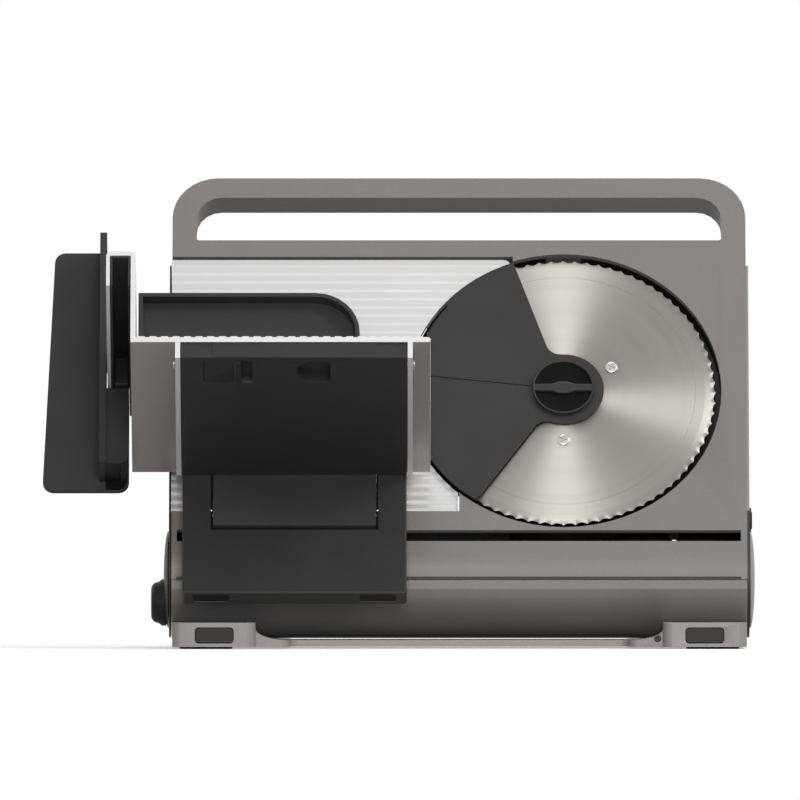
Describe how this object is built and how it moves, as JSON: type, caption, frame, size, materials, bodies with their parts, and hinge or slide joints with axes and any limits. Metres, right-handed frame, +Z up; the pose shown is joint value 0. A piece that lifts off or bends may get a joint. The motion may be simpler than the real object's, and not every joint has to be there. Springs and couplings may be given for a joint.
{
  "type": "meat slicer",
  "caption": "Leaning meat slicer with a serrated round blade, sector cover, ribbed gauge plate, sliding table and remnant holder.",
  "frame": {"origin": "on the floor, below the middle of the machine's overall box", "axes": "+Z up, -Y towards the user, +X to the user's right"},
  "size_m": [0.3959, 0.2416, 0.2618],
  "materials": {
    "panel_grey": "satin paint",
    "shell_grey": "satin paint",
    "leg_grey": "satin paint",
    "dark_plastic": "matte",
    "slab_plastic": "matte",
    "light_aluminium": "anodised",
    "blade_steel": "ground",
    "bright_steel": "bright",
    "rubber": "matte",
    "nylon": "natural"
  },
  "bodies": {
    "machine": {"base_frame": "leg_grey", "foot_front_left": "rubber", "foot_front_right": "rubber", "foot_rear_left": "rubber", "foot_rear_right": "rubber", "leg_insert_left": "dark_plastic", "leg_insert_right": "dark_plastic", "base_screw": "bright_steel", "front_panel": "panel_grey", "rear_shell": "shell_grey", "lower_shell": "shell_grey", "side_plate_left": "dark_plastic", "side_plate_right": "dark_plastic", "side_cap_left": "leg_grey", "side_cap_right": "leg_grey", "cord_gland": "rubber", "rear_screw_low_left": "bright_steel", "rear_screw_low_right": "bright_steel", "rear_screw_high_left": "bright_steel", "rear_screw_high_right": "bright_steel", "motor": "bright_steel", "motor_saddle": "dark_plastic", "worm_bearing": "bright_steel", "gear_bush": "bright_steel", "blade_axle": "bright_steel", "blade_cover": "dark_plastic", "slide_rail": "bright_steel", "thickness_bearing": "nylon", "guide_rod_low": "bright_steel", "guide_rod_high": "bright_steel", "switch_bezel": "dark_plastic", "switch_body": "dark_plastic"},
    "carriage": {"carriage_base": "slab_plastic", "slide_shoe_left": "nylon", "slide_shoe_right": "nylon", "hinge_pin_left": "bright_steel", "hinge_pin_right": "bright_steel"},
    "table": {"carriage_strut": "dark_plastic", "carriage_table": "light_aluminium", "table_pin_left": "bright_steel", "table_pin_right": "bright_steel", "channel_liner": "dark_plastic"},
    "latch": {"table_latch": "slab_plastic"},
    "holder": {"holder_runner": "dark_plastic", "food_plate": "dark_plastic", "spike_plate": "bright_steel", "hand_guard": "dark_plastic"},
    "gauge": {"gauge_plate": "light_aluminium", "gauge_bracket": "nylon"},
    "thickness": {"thickness_knob": "dark_plastic", "thickness_shaft": "nylon"},
    "cutter": {"blade": "blade_steel", "blade_gear": "nylon", "blade_screw_1": "bright_steel", "blade_screw_2": "bright_steel", "blade_screw_3": "bright_steel"},
    "lock": {"blade_knob": "dark_plastic"},
    "reduction": {"reduction_gear": "nylon"},
    "drive": {"motor_shaft": "bright_steel"},
    "switch": {"switch_button": "dark_plastic"}
  },
  "joints": [
    {"name": "carriage_slide", "type": "slide", "parent": "machine", "child": "carriage", "axis": [1, 0, 0], "range_m": [0, 0.178]},
    {"name": "table_fold", "type": "hinge", "parent": "carriage", "child": "table", "pos_m": [-0.05785, -0.01268, 0.07347], "axis": [1, 0, 0], "range_deg": [0, 60]},
    {"name": "latch_slide", "type": "slide", "parent": "table", "child": "latch", "axis": [1, 0, 0], "range_m": [0, 0.004], "stiffness_N_per_m": 100},
    {"name": "holder_slide", "type": "slide", "parent": "table", "child": "holder", "axis": [0, -0.866, 0.5], "range_m": [0, 0.1]},
    {"name": "thickness_turn", "type": "hinge", "parent": "machine", "child": "thickness", "pos_m": [-0.12805, 0.01476, 0.0253], "axis": [-1, 0, 0], "range_deg": [0, 300]},
    {"name": "gauge_slide", "type": "slide", "parent": "machine", "child": "gauge", "axis": [0, 0.866, -0.5], "range_m": [0, 0.015]},
    {"name": "blade_spin", "type": "hinge", "parent": "machine", "child": "cutter", "pos_m": [0.09195, 0.0394, 0.14248], "axis": [0, -0.866, 0.5], "continuous": true},
    {"name": "blade_lock", "type": "hinge", "parent": "machine", "child": "lock", "pos_m": [0.09195, 0.03672, 0.14403], "axis": [0, -0.866, 0.5], "range_deg": [0, 90]},
    {"name": "reduction_spin", "type": "hinge", "parent": "machine", "child": "reduction", "pos_m": [0.09195, 0.00848, 0.08412], "axis": [0, -0.866, 0.5], "continuous": true},
    {"name": "drive_spin", "type": "hinge", "parent": "machine", "child": "drive", "pos_m": [0.11965, 0.01476, 0.038], "axis": [1, 0, 0], "continuous": true},
    {"name": "switch_press", "type": "slide", "parent": "machine", "child": "switch", "axis": [-1, 0, 0], "range_m": [0, 0.001], "stiffness_N_per_m": 400}
  ],
  "couplings": [
    {"joint": "thickness_turn", "follows": "gauge_slide", "rad_per_m": 349.06},
    {"joint": "reduction_spin", "follows": "blade_spin", "ratio": -3.125},
    {"joint": "drive_spin", "follows": "blade_spin", "ratio": 87.5}
  ]
}
